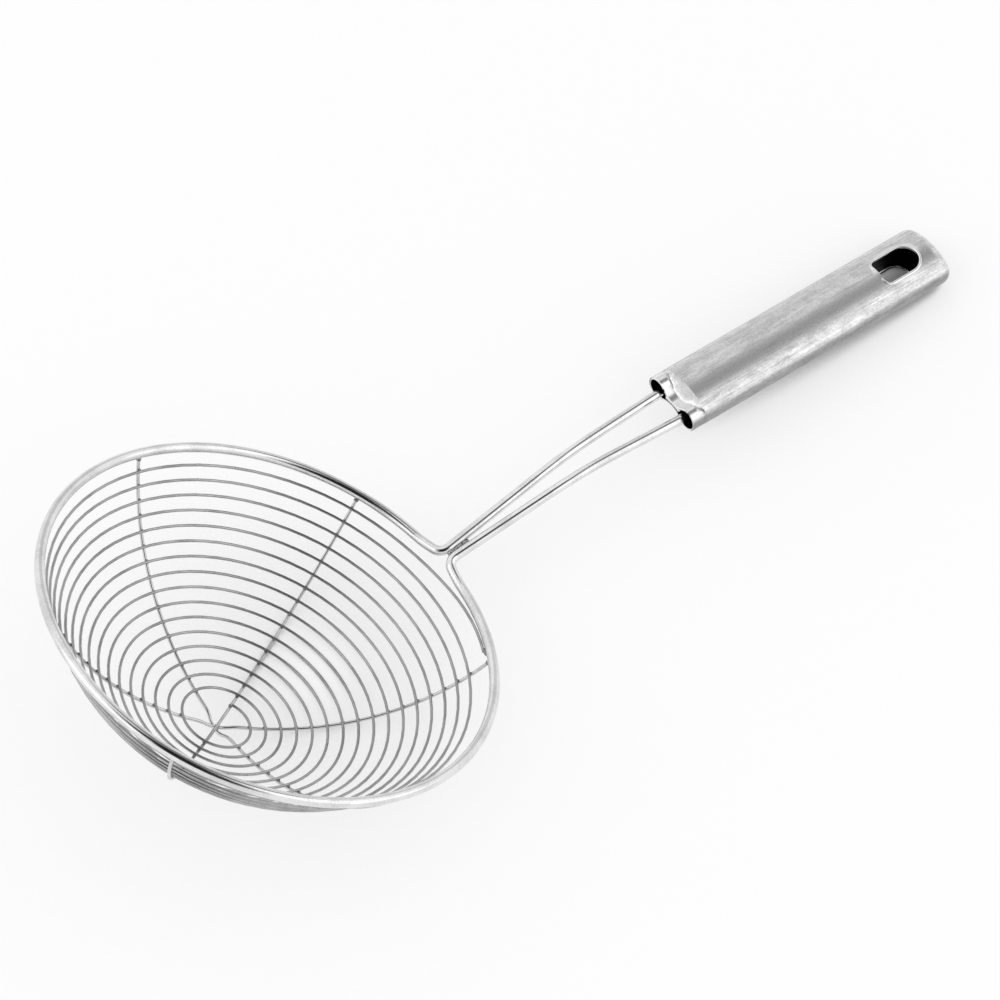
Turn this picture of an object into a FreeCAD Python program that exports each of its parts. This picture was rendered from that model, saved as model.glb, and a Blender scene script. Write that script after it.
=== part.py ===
import FreeCAD, Part
import math
import os
import Sketcher

Vector = FreeCAD.Vector
Placement = FreeCAD.Placement
Rotation = FreeCAD.Rotation

# Spider skimmer: a bowl wound from one thin wire on three crossing ribs, hung in a thick bent rim wire
# whose two ends run up as a neck into a hollow handle.
# It is modelled in the bowl's frame, with the rim's centre as zero, Z along the bowl's axis and X
# towards the handle, and then laid down as it lies on a table, on the bowl and the handle's tip.

# Driving sizes, in millimetres and degrees
DRIVING_SIZES = {
    "rim_radius": 78.0,
    "rim_wire": 3.5,
    "bowl_depth": 51.0,
    "rib_wire": 1.2,
    "rib_dip_reach": 8.0,
    "first_rib_angle": 27.0,
    "spiral_wire": 1.0,
    "spiral_turns": 16,
    "spiral_inner_reach": 9.8,
    "spiral_rim_space": 5.0,
    "spiral_end_angle": -30.0,
    "spiral_tail_angle": 45.0,
    "weld_gap": 0.1,
    "corner_overhang": 0.8,
    "corner_rise": 1.65,
    "corner_bend": 4.0,
    "neck_foot_run": 56.2,
    "neck_foot_angle": 33.0,
    "neck_bend": 120.0,
    "neck_run": 41.3,
    "neck_mouth_bend": 100.0,
    "rod_depth": 18.0,
    "handle_angle": 20.2,
    "handle_length": 118.0,
    "handle_width": 24.3,
    "handle_thickness": 13.5,
    "handle_crown": 20.0,
    "handle_wall": 0.8,
    "tip_round": 4.5,
    "collar_length": 3.2,
    "pinch_length": 2.4,
    "mouth_clearance": 1.8,
    "mouth_waist": 1.0,
    "mouth_seat_angle": 30.0,
    "slot_length": 16.8,
    "slot_width": 10.4,
    "slot_corner": 2.0,
    "slot_setback": 9.1,
}

# The largest share of its own wall or run that a fillet or bend may take
FILLET_SHARE = 0.9

# Where the rim starts to rise on its way to the corner, as a share of that way
LIFT_SHARE = 1 / 3

# How far a wire's volume may be from its section times its length
VOLUME_TOLERANCE = 0.005

# Ribs in their order round the bowl, each with its layer where they cross
RIBS = {
    "rib_right": 0,
    "rib_across": 2,
    "rib_left": 1,
}

document = FreeCAD.newDocument("spider_skimmer")
sheet = document.addObject("Spreadsheet::Sheet", "Sizes")
for row, (alias, number) in enumerate(DRIVING_SIZES.items(), start=1):
    sheet.set("A%d" % row, alias)
    sheet.set("B%d" % row, str(number))
    sheet.setAlias("B%d" % row, alias)
document.recompute()


def size(alias):
    """A driving size, as the sheet holds it."""
    return float(sheet.get(alias))


def bind(item, expressions):
    """Tie an object's properties to the sheet."""
    for target, expression in expressions.items():
        item.setExpression(target, expression)


def turned(angle):
    """The unit vector at an angle round the bowl's axis."""
    return Vector(math.cos(math.radians(angle)), math.sin(math.radians(angle)), 0)


def raised(angle):
    """The unit vector at an angle above the rim's plane, towards the handle."""
    return Vector(math.cos(math.radians(angle)), 0, math.sin(math.radians(angle)))


# Bends and arcs of a wire's path

def arc_from(start, heading, end):
    """The arc that leaves start along heading and reaches end."""
    chord = end - start
    half_turn = heading.getAngle(chord)
    along = Vector(chord).normalize()
    bulge = (heading - along * heading.dot(along)).normalize()
    middle = (start + end) * 0.5 + bulge * (chord.Length / 2 * math.tan(half_turn / 2))
    return Part.Arc(start, middle, end).toShape()


def bent_run(corners, bends):
    """Straight runs through the corners, joined at the inner ones by tangent arcs of the given radii."""
    edges = []
    start = corners[0]
    for before, bend, after, radius in zip(corners, corners[1:], corners[2:], bends):
        heading = (bend - before).normalize()
        leaving = (after - bend).normalize()
        setback = radius * math.tan(heading.getAngle(leaving) / 2)
        arc_start = bend - heading * setback
        arc_end = bend + leaving * setback
        edges.append(Part.LineSegment(start, arc_start).toShape())
        edges.append(arc_from(arc_start, heading, arc_end))
        start = arc_end
    edges.append(Part.LineSegment(start, corners[-1]).toShape())
    return edges


def biarc(start, heading, end, leaving):
    """Two tangent arcs of equal reach from start along heading to end along leaving."""
    span = end - start
    closing = 1 - heading.dot(leaving)
    along = span.dot(heading + leaving)
    reach = (math.sqrt(along ** 2 + 2 * closing * span.dot(span)) - along) / (2 * closing)
    start_corner = start + heading * reach
    end_corner = end - leaving * reach
    joint = (start_corner + end_corner) * 0.5
    middle_heading = (end_corner - start_corner).normalize()
    return [arc_from(start, heading, joint), arc_from(joint, middle_heading, end)]


# Shared places

rim_half = size("rim_wire") / 2
rib_half = size("rib_wire") / 2
spiral_half = size("spiral_wire") / 2
weld_gap = size("weld_gap")
rim_radius = size("rim_radius")
rib_radius = (rim_radius ** 2 + size("bowl_depth") ** 2) / (2 * size("bowl_depth"))
bowl_centre = Vector(0, 0, rib_radius - size("bowl_depth"))
spiral_radius = rib_radius - rib_half - spiral_half - weld_gap

corner_side = rim_half + weld_gap / 2
corner = Vector(rim_radius + size("corner_overhang"), corner_side, size("corner_rise"))
neck_bend_place = corner + raised(size("neck_foot_angle")) * size("neck_foot_run")
rod_line = raised(size("handle_angle"))
rod_mouth = neck_bend_place + rod_line * size("neck_run")

# The mouth's two lobes take a rod each, which lies on the lobe's lower wall
lobe_inside = rim_half + size("mouth_clearance")
lobe_side = size("handle_width") / 2 - lobe_inside - size("handle_wall")
rod_offset = lobe_inside - rim_half - weld_gap
rod_side = lobe_side - rod_offset * math.cos(math.radians(size("mouth_seat_angle")))
rod_drop = rod_offset * math.sin(math.radians(size("mouth_seat_angle")))

handle_up = Vector(-rod_line.z, 0, rod_line.x)
mouth_centre = Vector(rod_mouth.x, 0, rod_mouth.z) + handle_up * rod_drop
handle_place = Placement(mouth_centre, Rotation(Vector(0, 1, 0), -size("handle_angle")))


# Rim and neck: one bent wire

def rim_and_neck_path():
    """The wire's line, from the end of one rod round the rim to the end of the other."""
    flat_corner = Vector(corner.x, corner.y, 0)
    leave_angle = math.degrees(math.atan2(corner.y, corner.x) + math.acos(rim_radius / flat_corner.Length))
    leave = turned(leave_angle) * rim_radius
    lift = leave + (flat_corner - leave) * LIFT_SHARE
    lift_turn = (flat_corner - leave).getAngle(corner - lift)
    lift_bend = FILLET_SHARE * (lift - leave).Length / math.tan(lift_turn / 2)

    rod_length = size("neck_foot_run") + size("neck_run")
    spread = (rod_side - corner_side) / rod_length
    neck_knee = neck_bend_place + Vector(0, spread * size("neck_foot_run"), 0)
    mouth = Vector(rod_mouth.x, rod_side, rod_mouth.z)
    rod_end = mouth + rod_line * size("rod_depth")
    bends = [lift_bend, size("corner_bend"), size("neck_bend"), size("neck_mouth_bend")]
    side = bent_run([leave, lift, corner, neck_knee, mouth, rod_end], bends)
    other_side = [edge.mirror(Vector(0, 0, 0), Vector(0, 1, 0)) for edge in side]

    far_point = turned(180) * rim_radius
    leave_mirrored = Vector(leave.x, -leave.y, leave.z)
    ring = [
        Part.Arc(leave, turned(leave_angle / 2 + 90) * rim_radius, far_point).toShape(),
        Part.Arc(far_point, turned(-leave_angle / 2 - 90) * rim_radius, leave_mirrored).toShape(),
    ]
    return Part.Wire(Part.sortEdges(side + ring + other_side)[0])


# Spiral: one unbroken wire on the inside of the ribs

def spiral_point(turn_angle, reach):
    """The point of the bowl at an angle round it and a reach from its bottom, along the bowl."""
    slope = reach / spiral_radius
    return bowl_centre + turned(turn_angle) * (spiral_radius * math.sin(slope)) + Vector(
        0, 0, -spiral_radius * math.cos(slope))


def spiral_heading(turn_angle, reach, reach_per_radian):
    """The wire's direction there, as it winds clockwise and outwards."""
    slope = reach / spiral_radius
    outwards = turned(turn_angle) * math.cos(slope) + Vector(0, 0, math.sin(slope))
    round_bowl = turned(turn_angle - 90) * (spiral_radius * math.sin(slope))
    return (round_bowl + outwards * reach_per_radian).normalize()


def spiral_path():
    """Biarcs of a quarter turn each, and a short tail that rises to the rim."""
    rim_slope = math.atan2(rim_radius, bowl_centre.z)
    outer_reach = spiral_radius * rim_slope - size("spiral_rim_space")
    seat = rim_half + spiral_half + weld_gap
    seat_depth = math.sqrt(seat ** 2 - (rib_radius - spiral_radius) ** 2)
    seat_slope = 2 * math.asin(seat_depth / (2 * math.sqrt(rib_radius * spiral_radius)))
    seat_reach = spiral_radius * (rim_slope - seat_slope)

    start = size("first_rib_angle")
    tail = size("spiral_tail_angle")
    wound = 360 * size("spiral_turns") + start - size("spiral_end_angle") - tail
    quarters = math.ceil(wound / 90)
    growth = (outer_reach - size("spiral_inner_reach")) / math.radians(wound)
    stations = []
    for step in range(quarters + 1):
        angle = start - wound * step / quarters
        reach = size("spiral_inner_reach") + growth * math.radians(start - angle)
        stations.append((spiral_point(angle, reach), spiral_heading(angle, reach, growth)))
    end = start - wound - tail
    stations.append((spiral_point(end, seat_reach), spiral_heading(end, seat_reach, 0)))

    edges = []
    for (point, heading), (next_point, next_heading) in zip(stations, stations[1:]):
        edges += biarc(point, heading, next_point, next_heading)
    return Part.Wire(edges)


def least_gap(path, wire_width, steps_per_arc=6):
    """The least clear space between neighbouring turns, measured on points."""
    points = []
    for edge in path.Edges:
        points += edge.discretize(Number=steps_per_arc + 1)[:-1]
    arcs_per_turn = 8
    half_turn = arcs_per_turn * steps_per_arc // 2
    whole_turn = arcs_per_turn * steps_per_arc * 3 // 2
    least = math.inf
    for index, point in enumerate(points):
        for other in points[index + half_turn:index + whole_turn]:
            least = min(least, point.distanceToPoint(other))
    return least - wire_width


def swept_wire(name, path, wire_alias):
    """A round wire along a path."""
    line = document.addObject("Part::Feature", name + "_line")
    line.Shape = path
    start = path.OrderedVertexes[0].Point
    first_edge = path.OrderedEdges[0]
    heading = first_edge.tangentAt(first_edge.Curve.parameter(start))
    section = document.addObject("Part::Circle", name + "_section")
    bind(section, {"Radius": "Sizes.%s / 2" % wire_alias})
    section.Placement = Placement(start, Rotation(Vector(0, 0, 1), heading))
    wire = document.addObject("Part::Sweep", name)
    wire.Label = name
    wire.Sections = [section]
    wire.Spine = (line, ["Edge%d" % (number + 1) for number in range(len(path.Edges))])
    wire.Solid = True
    wire.Frenet = False
    document.recompute()
    expected = math.pi * (size(wire_alias) / 2) ** 2 * path.Length
    if abs(wire.Shape.Volume / expected - 1) > VOLUME_TOLERANCE:
        raise RuntimeError("%s doesn't follow its line" % name)
    return wire


# Ribs: three wires on the outside of the spiral, which dip one below another where they cross

def rib_point(direction, slope):
    """The point of the bowl under the spiral, on a rib's line, at a slope from the bowl's bottom."""
    return bowl_centre + turned(direction) * (rib_radius * math.sin(slope)) + Vector(
        0, 0, -rib_radius * math.cos(slope))


def rib_heading(direction, slope):
    """A rib's direction there."""
    return turned(direction) * math.cos(slope) + Vector(0, 0, math.sin(slope))


def rib_path(direction, layer):
    """The line from the rim's underside, through a dip at the bowl's bottom, to the rim's underside."""
    end_slope = math.asin(rim_radius / rib_radius) - (rim_half + weld_gap) / rib_radius
    dip_slope = size("rib_dip_reach") / rib_radius
    dip = layer * (size("rib_wire") + weld_gap)
    bottom = rib_point(direction, 0) - Vector(0, 0, dip)
    edges = []
    for side in (direction + 180, direction):
        dip_edge = rib_point(side, dip_slope)
        rise = biarc(bottom, turned(side), dip_edge, rib_heading(side, dip_slope))
        rise.append(arc_from(dip_edge, rib_heading(side, dip_slope), rib_point(side, end_slope)))
        edges += rise
    return Part.Wire(Part.sortEdges(edges)[0])


# Handle: a drawn oval tube, open and pinched at the mouth, closed and rounded at the tip

def origin_plane(body, role):
    """A body's own origin plane."""
    return [feature for feature in body.Origin.OriginFeatures if feature.Role == role][0]


def section_sketch(body, name, station, side_centre, side_radius, crown_radius, hollow_crown):
    """A closed section of four tangent arcs: two sides, and a crown above and below that bulges or dips."""
    sketch = body.newObject("Sketcher::SketchObject", name)
    sketch.AttachmentSupport = [(origin_plane(body, "YZ_Plane"), "")]
    sketch.MapMode = "FlatFace"
    bind(sketch, {"AttachmentOffset.Base.z": station})
    document.recompute()

    centre, radius, crown = (sheet_value(text) for text in (side_centre, side_radius, crown_radius))
    if hollow_crown:
        height = math.sqrt((radius + crown) ** 2 - centre ** 2)
        meet = math.pi - math.atan2(height, centre)
        top_span = (2 * math.pi - meet, math.pi + meet)
        bottom_span = (math.pi - meet, meet)
        joints = [(0, 2, 1, 2), (1, 1, 2, 1), (2, 2, 3, 2), (3, 1, 0, 1)]
    else:
        height = -math.sqrt((crown - radius) ** 2 - centre ** 2)
        meet = math.atan2(-height, centre)
        top_span = (meet, math.pi - meet)
        bottom_span = (math.pi + meet, 2 * math.pi - meet)
        joints = [(0, 2, 1, 1), (1, 2, 2, 1), (2, 2, 3, 1), (3, 2, 0, 1)]
    arcs = [
        (centre, 0, radius, (-meet, meet)),
        (0, height, crown, top_span),
        (-centre, 0, radius, (math.pi - meet, math.pi + meet)),
        (0, -height, crown, bottom_span),
    ]
    for across, up, arc_radius, (first, last) in arcs:
        circle = Part.Circle(Vector(across, up, 0), Vector(0, 0, 1), arc_radius)
        sketch.addGeometry(Part.ArcOfCircle(circle, first, last))
    for joint in joints:
        sketch.addConstraint(Sketcher.Constraint("Tangent", *joint))
    for index, axis in ((0, -1), (2, -1), (1, -2)):
        sketch.addConstraint(Sketcher.Constraint("PointOnObject", index, 3, axis))
    sketch.addConstraint(Sketcher.Constraint("Equal", 0, 2))
    sketch.addConstraint(Sketcher.Constraint("Equal", 1, 3))
    for label, constraint, expression in (
            ("side_radius", Sketcher.Constraint("Radius", 0, radius), side_radius),
            ("crown_radius", Sketcher.Constraint("Radius", 1, crown), crown_radius),
            ("side_centre", Sketcher.Constraint("DistanceX", -1, 1, 0, 3, centre), side_centre)):
        number = sketch.addConstraint(constraint)
        sketch.renameConstraint(number, label)
        sketch.setExpression("Constraints." + label, expression)
    return sketch


def sheet_value(expression):
    """What an expression on the sheet comes to."""
    return float(sheet.evalExpression(expression.replace("Sizes.", "")))


def end_edges(feature, station):
    """The names of a feature's edges that lie at one place along the handle."""
    names = []
    for number, edge in enumerate(feature.Shape.Edges, start=1):
        box = edge.BoundBox
        if abs(box.XMin - station) < weld_gap and abs(box.XMax - station) < weld_gap:
            names.append("Edge%d" % number)
    return names


def slot_sketch(body):
    """The hanging slot's outline: round towards the tip, nearly square towards the mouth."""
    sketch = body.newObject("Sketcher::SketchObject", "slot_outline")
    sketch.AttachmentSupport = [(origin_plane(body, "XY_Plane"), "")]
    sketch.MapMode = "FlatFace"
    half = size("slot_width") / 2
    corner_radius = size("slot_corner")
    tip_end = size("handle_length") - size("slot_setback")
    round_centre = tip_end - half
    square_end = tip_end - size("slot_length")
    quarter = math.pi / 2

    def side(x_from, y_from, x_to, y_to):
        sketch.addGeometry(Part.LineSegment(Vector(x_from, y_from, 0), Vector(x_to, y_to, 0)))

    def bend(x, y, radius, first, last):
        circle = Part.Circle(Vector(x, y, 0), Vector(0, 0, 1), radius)
        sketch.addGeometry(Part.ArcOfCircle(circle, first, last))

    side(square_end + corner_radius, -half, round_centre, -half)
    bend(round_centre, 0, half, -quarter, quarter)
    side(round_centre, half, square_end + corner_radius, half)
    bend(square_end + corner_radius, half - corner_radius, corner_radius, quarter, 2 * quarter)
    side(square_end, half - corner_radius, square_end, corner_radius - half)
    bend(square_end + corner_radius, corner_radius - half, corner_radius, 2 * quarter, 3 * quarter)
    for index in range(sketch.GeometryCount):
        following = (index + 1) % sketch.GeometryCount
        sketch.addConstraint(Sketcher.Constraint("Tangent", index, 2, following, 1))
    sketch.addConstraint(Sketcher.Constraint("Horizontal", 0))
    sketch.addConstraint(Sketcher.Constraint("Horizontal", 2))
    sketch.addConstraint(Sketcher.Constraint("Vertical", 4))
    sketch.addConstraint(Sketcher.Constraint("Equal", 3, 5))
    sketch.addConstraint(Sketcher.Constraint("PointOnObject", 1, 3, -1))
    for label, constraint, expression in (
            ("corner", Sketcher.Constraint("Radius", 3, corner_radius), "Sizes.slot_corner"),
            ("round_end", Sketcher.Constraint("Radius", 1, half), "Sizes.slot_width / 2"),
            ("round_centre", Sketcher.Constraint("DistanceX", -1, 1, 1, 3, round_centre),
             "Sizes.handle_length - Sizes.slot_setback - Sizes.slot_width / 2"),
            ("square_end", Sketcher.Constraint("DistanceX", -1, 1, 4, 1, square_end),
             "Sizes.handle_length - Sizes.slot_setback - Sizes.slot_length")):
        number = sketch.addConstraint(constraint)
        sketch.renameConstraint(number, label)
        sketch.setExpression("Constraints." + label, expression)
    return sketch


def handle():
    """The handle in its own frame: X along it from the mouth to the tip, Z up through its flat."""
    body = document.addObject("PartDesign::Body", "handle")
    body.Label = "handle"
    width = "Sizes.handle_width"
    thickness = "Sizes.handle_thickness"
    crown = "Sizes.handle_crown"
    wall = "Sizes.handle_wall"
    side_radius = "((%s * %s - (%s ^ 2 + %s ^ 2) / 4) / (2 * %s - %s))" % (
        crown, thickness, thickness, width, crown, width)
    side_centre = "(%s / 2 - %s)" % (width, side_radius)
    lobe_radius = "(Sizes.rim_wire / 2 + Sizes.mouth_clearance + %s)" % wall
    lobe_centre = "(%s / 2 - %s)" % (width, lobe_radius)
    waist = "(Sizes.mouth_waist / 2 + %s)" % wall
    dip_radius = "((%s ^ 2 + %s ^ 2 - %s ^ 2) / (2 * (%s - %s)))" % (
        lobe_centre, waist, lobe_radius, lobe_radius, waist)
    pinch_start = "Sizes.collar_length"
    pinch_end = "(Sizes.collar_length + Sizes.pinch_length)"

    mouth_outside = section_sketch(
        body, "mouth_outside", pinch_start, lobe_centre, lobe_radius, dip_radius, True)
    tube_outside = section_sketch(
        body, "tube_outside", pinch_end, side_centre, side_radius, crown, False)
    mouth_inside = section_sketch(
        body, "mouth_inside", pinch_start, lobe_centre, "%s - %s" % (lobe_radius, wall),
        "%s + %s" % (dip_radius, wall), True)
    tube_inside = section_sketch(
        body, "tube_inside", pinch_end, side_centre, "%s - %s" % (side_radius, wall),
        "%s - %s" % (crown, wall), False)

    pinch = body.newObject("PartDesign::AdditiveLoft", "pinch")
    pinch.Profile = mouth_outside
    pinch.Sections = [tube_outside]
    pinch.Ruled = True
    collar = body.newObject("PartDesign::Pad", "collar")
    collar.Profile = mouth_outside
    collar.Reversed = True
    bind(collar, {"Length": pinch_start})
    tube = body.newObject("PartDesign::Pad", "tube")
    tube.Profile = tube_outside
    bind(tube, {"Length": "Sizes.handle_length - %s" % pinch_end})
    document.recompute()

    pinch_hollow = body.newObject("PartDesign::SubtractiveLoft", "pinch_hollow")
    pinch_hollow.Profile = mouth_inside
    pinch_hollow.Sections = [tube_inside]
    pinch_hollow.Ruled = True
    collar_hollow = body.newObject("PartDesign::Pocket", "collar_hollow")
    collar_hollow.Profile = mouth_inside
    bind(collar_hollow, {"Length": pinch_start})
    hollow = body.newObject("PartDesign::Pocket", "hollow")
    hollow.Profile = tube_inside
    hollow.Reversed = True
    bind(hollow, {"Length": "Sizes.handle_length - %s - %s" % (pinch_end, wall)})
    document.recompute()

    tip_round = "min(Sizes.tip_round; %g * %s)" % (FILLET_SHARE, side_radius)
    round_hollow = body.newObject("PartDesign::Fillet", "round_hollow")
    round_hollow.Base = (hollow, end_edges(hollow, size("handle_length") - size("handle_wall")))
    bind(round_hollow, {"Radius": "%s - %s" % (tip_round, wall)})
    document.recompute()
    round_tip = body.newObject("PartDesign::Fillet", "round_tip")
    round_tip.Base = (round_hollow, end_edges(round_hollow, size("handle_length")))
    bind(round_tip, {"Radius": tip_round})
    slot = body.newObject("PartDesign::Pocket", "slot")
    slot.Profile = slot_sketch(body)
    slot.Type = "ThroughAll"
    slot.Midplane = True
    document.recompute()
    body.Tip = slot
    body.Placement = handle_place
    return body


# Building

spiral_line = spiral_path()
sub_parts = [
    swept_wire("rim_and_neck", rim_and_neck_path(), "rim_wire"),
    swept_wire("spiral_wire", spiral_line, "spiral_wire"),
]
for order, (rib_name, layer) in enumerate(RIBS.items()):
    direction = size("first_rib_angle") + 180 / len(RIBS) * order
    sub_parts.append(swept_wire(rib_name, rib_path(direction, layer), "rib_wire"))
sub_parts.append(handle())
document.recompute()

for item in document.Objects:
    if "Invalid" in item.State or "Error" in item.State:
        raise RuntimeError("%s failed: %s" % (item.Label, item.State))

# Laying down: the outside of the bowl and the tip's lower edge touch the table

tip_radius = document.getObject("round_tip").Radius.Value
tip_edge = handle_place.multVec(
    Vector(size("handle_length") - tip_radius, 0, tip_radius - size("handle_thickness") / 2))
to_tip = tip_edge - bowl_centre
bowl_outside = spiral_radius + spiral_half
tilt = math.atan2(to_tip.z, to_tip.x) + math.asin((bowl_outside - tip_radius) / to_tip.Length)
laid = Placement(Vector(0, 0, 0), Rotation(Vector(0, 1, 0), math.degrees(tilt)))
box = FreeCAD.BoundBox()
for item in sub_parts:
    item.Placement = laid * item.Placement
    box.add(item.Shape.optimalBoundingBox())
onto_table = Placement(Vector(-box.Center.x, 0, -box.ZMin), Rotation())

os.makedirs("parts", exist_ok=True)
for item in sub_parts:
    item.Placement = onto_table * item.Placement
    if item.Shape.isNull() or not item.Shape.isValid() or len(item.Shape.Solids) != 1:
        raise RuntimeError("%s is no valid single solid" % item.Label)
    print("%s: %.1f mm3" % (item.Label, item.Shape.Volume))
for item in sub_parts:
    item.Shape.exportStep("parts/%s.step" % item.Label)
print("tilt on the table: %.2f degrees" % math.degrees(tilt))
print("size on the table: %.1f x %.1f x %.1f mm" % (box.XLength, box.YLength, box.ZLength))
print("length of the spiral wire: %.0f mm" % spiral_line.Length)
print("least gap of the spiral wire to itself: %.2f mm" % least_gap(spiral_line, size("spiral_wire")))
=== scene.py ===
import math
import random

import bmesh
import bpy
from bpy.props import FloatProperty, FloatVectorProperty, IntProperty, PointerProperty
from bpy.types import Operator, Panel, PropertyGroup
from mathutils import Matrix, Quaternion, Vector


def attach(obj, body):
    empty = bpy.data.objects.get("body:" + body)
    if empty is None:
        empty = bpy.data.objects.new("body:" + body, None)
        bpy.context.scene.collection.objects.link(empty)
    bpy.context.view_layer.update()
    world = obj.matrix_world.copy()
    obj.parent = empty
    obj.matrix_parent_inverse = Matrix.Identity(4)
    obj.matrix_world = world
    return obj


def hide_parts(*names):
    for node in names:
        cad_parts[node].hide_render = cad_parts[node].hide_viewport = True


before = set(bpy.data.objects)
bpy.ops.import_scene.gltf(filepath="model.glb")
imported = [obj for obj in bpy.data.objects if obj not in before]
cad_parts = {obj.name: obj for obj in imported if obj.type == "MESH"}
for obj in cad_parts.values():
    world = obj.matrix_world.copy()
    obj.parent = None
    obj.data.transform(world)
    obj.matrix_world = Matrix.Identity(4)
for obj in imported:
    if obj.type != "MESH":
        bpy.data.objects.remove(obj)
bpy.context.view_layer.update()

bl_info = {
    "name": "Spider skimmer",
    "version": (1, 0, 0),
    "blender": (4, 5, 0),
    "location": "3D View > Sidebar > Skimmer",
    "description": "Winds, welds and finishes a wire spider skimmer and sets it in a white studio",
    "category": "Object",
}

RIB_NODES = ("rib_right", "rib_across", "rib_left")

# Modelling
BURR_SHARE = 0.35                # of a wire's half width, taken off at its cut ends
BEAD_SIDES = 10                  # faces round a bead
BEAD_RINGS = 6                   # faces from a bead's bottom to its top
BEAD_SEED = 5                    # of the beads' unevenness
LIP_STEP = math.radians(9)       # turn between two rings of a rolled lip's skin
SHARP_EDGE = math.radians(50)    # an edge that turns further looks sharp
MERGE_SHARE = 0.01               # of a lip's half width, within which its two ends are one

# Shares of the patterns in the shade of the wires and of the handle
PATCH_SHARE = 0.65
MARK_SHARE = 0.35
LINE_SHARE = 0.36
SCUFF_SHARE = 0.34
PIT_SHARE = 0.30

# The stretch of a pattern, from dull to clean, over which a colour or the roughness changes
WIRE_TONES = (0.36, 0.56)
WIRE_GLOSS = (0.36, 0.60)
WELD_TONES = (0.35, 0.65)
HANDLE_TONES = (0.38, 0.62)
HANDLE_GLOSS = (0.34, 0.72)

# How strongly the relief shows
WIRE_BUMP = 0.05
WELD_BUMP = 0.3
HANDLE_BUMP = 0.12

# Where one part of the handle's finish gives way to the next
SLOT_WEAR_SHARES = (0.62, 0.68)  # the worn oval's half sizes, as shares of the slot's length and width
SLOT_WEAR_EDGE = (0.95, 1.2)     # as shares of that oval
# Painted shade: beyond the next edge the tube's narrow sides are coloured darker.
PAINTED_SIDE_SHADE_EDGE = (0.42, 0.495)        # as shares of the handle's width, from its middle
# Painted shade: where the surface lies less open than the next edge, the tube's inside is coloured near
# black.
PAINTED_INSIDE_SHADE_EDGE = (0.35, 0.62)       # as how open the surface lies

# Stage
FLOOR_ROUGHNESS = 0.9
# Painted shadow: where the floor lies less open than the next edge, its glow fades out near the skimmer.
GLOW_EDGE = (0.32, 0.54)         # how open the floor lies where its glow comes up
CARD_EDGE = 0.3                  # a card's soft edge, as a share of its reach

# Where a Mix node takes its factor and its two colours, and gives the mixed one
MIX_COLOUR_INPUTS = (0, 6, 7)
MIX_COLOUR_OUTPUT = 2


class SkimmerBowl(PropertyGroup):
    """Sizes of the bowl's wires, with the rim's centre as zero and Z along the bowl's axis"""

    rim_radius: FloatProperty(
        name="Rim radius", description="From the bowl's axis to the middle of the rim wire",
        default=0.078, unit="LENGTH")
    rim_wire: FloatProperty(
        name="Rim wire", description="Width of the rim and neck wire", default=0.0035, unit="LENGTH")
    bowl_depth: FloatProperty(
        name="Bowl depth", description="From the rim down to the line of the first rib",
        default=0.051, unit="LENGTH")
    rib_wire: FloatProperty(
        name="Rib wire", description="Width of the three ribs", default=0.0012, unit="LENGTH")
    first_rib_angle: FloatProperty(
        name="First rib", description="Angle of the first rib from the handle, round the bowl",
        default=math.radians(27), subtype="ANGLE")
    spiral_wire: FloatProperty(
        name="Spiral wire", description="Width of the wound wire", default=0.001, unit="LENGTH")
    spiral_turns: IntProperty(
        name="Turns", description="Turns of the spiral between the bottom and the rim", default=16, min=4)
    spiral_inner_reach: FloatProperty(
        name="Inner reach", description="From the bowl's bottom to the start of the spiral, along the bowl",
        default=0.0098, unit="LENGTH")
    spiral_rim_space: FloatProperty(
        name="Rim space", description="From the last turn to the rim, along the bowl",
        default=0.005, unit="LENGTH")
    spiral_end_angle: FloatProperty(
        name="End of the spiral", description="Where the spiral ends, round the bowl",
        default=math.radians(-30), subtype="ANGLE")
    spiral_tail_angle: FloatProperty(
        name="Tail", description="How far round the bowl the spiral rises to the rim",
        default=math.radians(45), subtype="ANGLE")
    weld_gap: FloatProperty(
        name="Weld gap", description="Clear space between two wires that a weld bridges",
        default=0.0001, unit="LENGTH")
    tilt: FloatProperty(
        name="Tilt", description="How far the bowl leans away from the handle as it lies on a table",
        default=math.radians(27.29476), subtype="ANGLE")
    table_place: FloatVectorProperty(
        name="Place", description="The rim's centre above the table",
        default=(-0.107074, 0, 0.054102), subtype="TRANSLATION", unit="LENGTH")
    wire_sides: IntProperty(
        name="Sides", description="Sides of the spiral wire's round section", default=14, min=6)
    wire_step: FloatProperty(
        name="Step", description="Turn between two rings of the spiral wire's skin",
        default=math.radians(5), subtype="ANGLE")


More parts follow.
